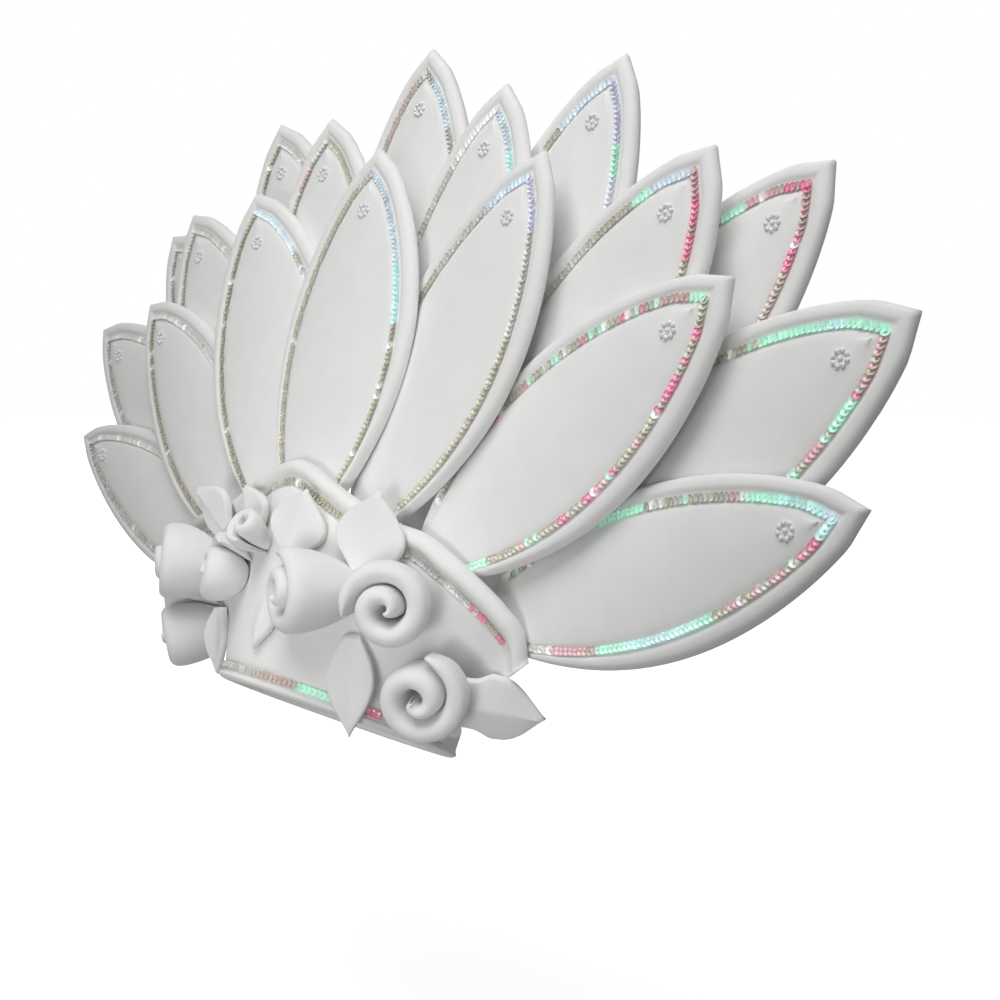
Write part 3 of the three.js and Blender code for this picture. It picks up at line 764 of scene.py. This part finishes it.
# Leaves
def make_leaf(row, material):
    """Pointed foam with a fold down the middle, from rings round its outline."""
    kind, half = LEAF_KINDS[row.kind], row.half
    foot, tip, toward = (np.array(v, float) for v in (row.foot, row.tip, row.toward or kind.toward))
    length = float(np.linalg.norm(foot - tip))
    downward = unit(foot - tip)
    across = unit(np.cross(toward, downward))
    front = np.cross(downward, across)
    if np.dot(front, toward) < 0:
        front = -front
    reach = LEAF["reach"] if kind.stem < half / 2 else LEAF["wide_reach"]
    shares = (np.arange(LEAF_STATIONS) + 1) / LEAF_STATIONS * reach

    def ring(inset, behind, width=1.0):
        pull = inset * LEAF["tip_pull"]
        full = (half - inset) * np.maximum(0, np.sin(math.pi * shares ** LEAF["wide_at"]))
        held = np.clip((shares - LEAF["stem_from"]) / LEAF["stem_over"], 0, 1)
        held = (kind.stem - inset * LEAF["stem_inset"]) * held
        wide = np.cbrt(full**3 + held**3) * width
        down = pull + (length - pull) * shares
        lift = kind.fold * (1 - np.abs(wide) / half) - behind

        def places(sign):
            middle = tip + down[:, None] * downward
            return middle + sign * wide[:, None] * across + lift[:, None] * front

        top = tip + pull * downward + (kind.fold - behind) * front
        return np.concatenate([[top], places(1), places(-1)[::-1]])

    thick, edge, puff = LEAF["thick"], LEAF["edge"], LEAF["puff"]
    rings = [ring(edge, thick, w) for w in (0.0, 0.4, 0.75, 1.0)]
    for a in np.linspace(0.25, 2.9, 9):
        rings.append(ring(edge - edge * math.sin(a), thick / 2 * (1 + math.cos(a))))
    rings += [ring(edge, -puff * (1 - w) ** LEAF["puff_shape"], w) for w in (1.0, 0.75, 0.4, 0.12, 0.0)]
    points = np.concatenate(rings)
    points[:, 0] *= row.side
    name = f"leaf_{row.kind}_{SIDE_NAMES[row.side]}"
    faces = turned_out(points, loft_faces(len(rings), len(rings[0])))
    piece = add_mesh(f"{name}_foam", points, faces, material, name)
    weld(piece)
    return piece


# Materials
def new_material(name):
    material = bpy.data.materials.new(name)
    material.use_nodes = True
    nodes = material.node_tree.nodes
    return material, nodes, material.node_tree.links, nodes["Principled BSDF"]


def foam_material():
    """Matt white foam: fine cells, faint soft mottling and a little sheen."""
    material, nodes, links, shader = new_material("white_foam")
    place = nodes.new("ShaderNodeTexCoord")
    cells = nodes.new("ShaderNodeTexNoise")
    cells.inputs["Scale"].default_value = 1400
    cells.inputs["Detail"].default_value = 3
    mottle = nodes.new("ShaderNodeTexNoise")
    mottle.inputs["Scale"].default_value = 45
    mottle.inputs["Detail"].default_value = 4
    ramp = nodes.new("ShaderNodeValToRGB")
    ramp.color_ramp.elements[0].position = 0.35
    ramp.color_ramp.elements[0].color = (0.85, 0.85, 0.84, 1)
    ramp.color_ramp.elements[1].position = 0.65
    ramp.color_ramp.elements[1].color = (0.875, 0.875, 0.865, 1)
    bump = nodes.new("ShaderNodeBump")
    bump.inputs["Strength"].default_value = 0.25
    bump.inputs["Distance"].default_value = 0.0004
    rough = nodes.new("ShaderNodeMapRange")
    rough.inputs["To Min"].default_value = 0.85
    rough.inputs["To Max"].default_value = 1.0
    links.new(place.outputs["Object"], cells.inputs["Vector"])
    links.new(place.outputs["Object"], mottle.inputs["Vector"])
    links.new(mottle.outputs["Fac"], ramp.inputs["Fac"])
    links.new(ramp.outputs["Color"], shader.inputs["Base Color"])
    links.new(cells.outputs["Fac"], bump.inputs["Height"])
    links.new(bump.outputs["Normal"], shader.inputs["Normal"])
    links.new(cells.outputs["Fac"], rough.inputs["Value"])
    links.new(rough.outputs["Result"], shader.inputs["Roughness"])
    shader.inputs["Sheen Weight"].default_value = 0.12
    shader.inputs["Sheen Roughness"].default_value = 0.6
    shader.inputs["Specular IOR Level"].default_value = 0.25
    return material


def sequin_material():
    """Clear plastic sequins with an iridescent film. Each disc carries its own colour, and the bright
    ones also glow with a painted highlight.
    """
    material, nodes, links, shader = new_material("iridescent_sequin")
    colour = nodes.new("ShaderNodeAttribute")
    colour.attribute_name = "sequin_colour"
    grain = nodes.new("ShaderNodeTexNoise")
    grain.inputs["Scale"].default_value = 900
    place = nodes.new("ShaderNodeTexCoord")
    rough = nodes.new("ShaderNodeMapRange")
    rough.inputs["To Min"].default_value = 0.12
    rough.inputs["To Max"].default_value = 0.3
    links.new(place.outputs["Object"], grain.inputs["Vector"])
    links.new(grain.outputs["Fac"], rough.inputs["Value"])
    links.new(rough.outputs["Result"], shader.inputs["Roughness"])
    links.new(colour.outputs["Color"], shader.inputs["Base Color"])
    painted_glow = nodes.new("ShaderNodeAttribute")
    painted_glow.attribute_name = "sequin_painted_glow"
    # painted highlight: the disc's own colour glows at the strength that it carries
    links.new(colour.outputs["Color"], shader.inputs["Emission Color"])
    links.new(painted_glow.outputs["Fac"], shader.inputs["Emission Strength"])
    shader.inputs["Metallic"].default_value = 0.0
    shader.inputs["Coat Weight"].default_value = 0.6
    shader.inputs["Coat Roughness"].default_value = 0.08
    return material


def bead_material():
    """Small bright beads, nearly white and a little clear."""
    material, nodes, links, shader = new_material("clear_bead")
    grain = nodes.new("ShaderNodeTexNoise")
    grain.inputs["Scale"].default_value = 700
    ramp = nodes.new("ShaderNodeValToRGB")
    ramp.color_ramp.elements[0].color = (0.9, 0.91, 0.92, 1)
    ramp.color_ramp.elements[1].color = (0.98, 0.98, 0.99, 1)
    links.new(grain.outputs["Fac"], ramp.inputs["Fac"])
    links.new(ramp.outputs["Color"], shader.inputs["Base Color"])
    shader.inputs["Roughness"].default_value = 0.06
    shader.inputs["Transmission Weight"].default_value = 0.12
    shader.inputs["IOR"].default_value = 1.5
    return material


def floor_material():
    """Pale floor with a painted glow that is weaker near the crown, so it fades to white away from the
    crown.
    """
    material, nodes, links, shader = new_material("pale_floor_painted_glow")
    place = nodes.new("ShaderNodeTexCoord")
    grain = nodes.new("ShaderNodeTexNoise")
    grain.inputs["Scale"].default_value = 3
    ramp = nodes.new("ShaderNodeValToRGB")
    ramp.color_ramp.elements[0].color = (0.88, 0.88, 0.88, 1)
    ramp.color_ramp.elements[1].color = (0.9, 0.9, 0.9, 1)
    away = nodes.new("ShaderNodeVectorMath")
    away.operation = "LENGTH"
    # painted light: the floor's glow grows outwards from the crown, which leaves painted shade around the
    # crown
    fade = nodes.new("ShaderNodeMapRange")
    fade.interpolation_type = "SMOOTHSTEP"
    fade.inputs["From Min"].default_value = 0.1
    fade.inputs["From Max"].default_value = 2.2
    fade.inputs["To Min"].default_value = 0.65
    fade.inputs["To Max"].default_value = 1.2
    links.new(place.outputs["Object"], grain.inputs["Vector"])
    links.new(place.outputs["Object"], away.inputs[0])
    links.new(away.outputs["Value"], fade.inputs["Value"])
    links.new(grain.outputs["Fac"], ramp.inputs["Fac"])
    links.new(ramp.outputs["Color"], shader.inputs["Base Color"])
    links.new(fade.outputs["Result"], shader.inputs["Emission Strength"])
    shader.inputs["Emission Color"].default_value = (1, 1, 1, 1)
    shader.inputs["Roughness"].default_value = 0.9
    return material


def backdrop_material():
    """Plain white backdrop that only the camera sees."""
    material, nodes, links, shader = new_material("white_backdrop")
    glow = nodes.new("ShaderNodeEmission")
    links.new(glow.outputs["Emission"], nodes["Material Output"].inputs["Surface"])
    nodes.remove(shader)
    return material


# The crown
def build_crown():
    foam, sequin, bead = foam_material(), sequin_material(), bead_material()
    make_band(foam)
    make_diadem(foam)
    seed = SEEDS["feathers"]
    for tier, rows in FEATHERS.items():
        rows = [FeatherRow(*values) for values in rows]
        has_middle = rows[0].across == 0
        for number, row in enumerate(rows, 0 if has_middle else 1):
            for side in (1, -1) if number else (1,):
                name = f"{tier}_{SIDE_NAMES[side]}_{number}" if number else f"{tier}_middle"
                seed += 1
                make_feather(f"feather_{name}", row, side, foam)
                make_spot(f"feather_{name}", row, side, bead)
                path, normals = trim_path(row, side)
                zones = TRIM_COLOURS.get(name, GREY_TRIM)
                make_sequins(f"trim_{name}_sequins", path, normals, zones, sequin, f"trim_{name}", seed)
    make_diadem_sequins(sequin)
    make_band_sequins(sequin)
    for values in ROSES:
        row = RoseRow(*values)
        for side in row.sides:
            name = f"{row.name}_{SIDE_NAMES[side]}" if len(row.sides) > 1 else row.name
            make_rose(name, row, side, foam)
    for values in LEAVES:
        make_leaf(LeafRow(*values), foam)


# Studio
def add_stage(name, points, faces, material):
    mesh = bpy.data.meshes.new(name)
    mesh.from_pydata(points, [], faces)
    mesh.materials.append(material)
    piece = bpy.data.objects.new(name, mesh)
    piece.location.z = FLOOR_Z * MM
    bpy.context.scene.collection.objects.link(piece)
    return piece


def add_light(name, place, target, size, watts, spread):
    light = bpy.data.lights.new(name, "AREA")
    light.size = size
    light.energy = watts
    light.spread = math.radians(spread)
    lamp = bpy.data.objects.new(name, light)
    lamp.location = place
    lamp.rotation_mode = "QUATERNION"
    lamp.rotation_quaternion = (Vector(target) - Vector(place)).to_track_quat("-Z", "Y")
    bpy.context.scene.collection.objects.link(lamp)


def build_studio():
    camera = bpy.data.objects.new("camera", bpy.data.cameras.new("camera"))
    camera.data.lens = CAMERA_LENS
    camera.data.sensor_width = CAMERA_SENSOR
    camera.location = Vector(CAMERA_AT) * MM
    camera.rotation_mode = "QUATERNION"
    camera.rotation_quaternion = (-Vector(CAMERA_BACK)).to_track_quat("-Z", "Y")
    camera.data.clip_end = CAMERA_FAR
    bpy.context.scene.collection.objects.link(camera)
    bpy.context.scene.camera = camera

    count = STUDIO_SIDES
    ring = [(math.cos(a), math.sin(a)) for a in np.linspace(0, 2 * math.pi, count, endpoint=False)]
    disc = [(STUDIO_RADIUS * x, STUDIO_RADIUS * y, 0) for x, y in ring]
    wall = [(x, y, STUDIO_RADIUS) for x, y, _ in disc]
    sides = [(i, (i + 1) % count, count + (i + 1) % count, count + i) for i in range(count)]
    floor = add_stage("floor", disc, [tuple(range(count))], floor_material())
    lid = tuple(range(count, 2 * count))
    backdrop = add_stage("backdrop", disc + wall, sides + [lid], backdrop_material())
    for piece in (floor, backdrop):
        piece.visible_diffuse = False
    backdrop.visible_shadow = False
    backdrop.visible_glossy = False
    backdrop.visible_transmission = False

    for values in LIGHTS:
        add_light(*values)
    world = bpy.data.worlds.new("studio")
    bpy.context.scene.world = world
    world.use_nodes = True
    background = world.node_tree.nodes["Background"]
    background.inputs["Color"].default_value = (1, 1, 1, 1)
    background.inputs["Strength"].default_value = WORLD_STRENGTH
    bpy.context.scene.view_settings.view_transform = "Standard"


build_crown()
build_studio()
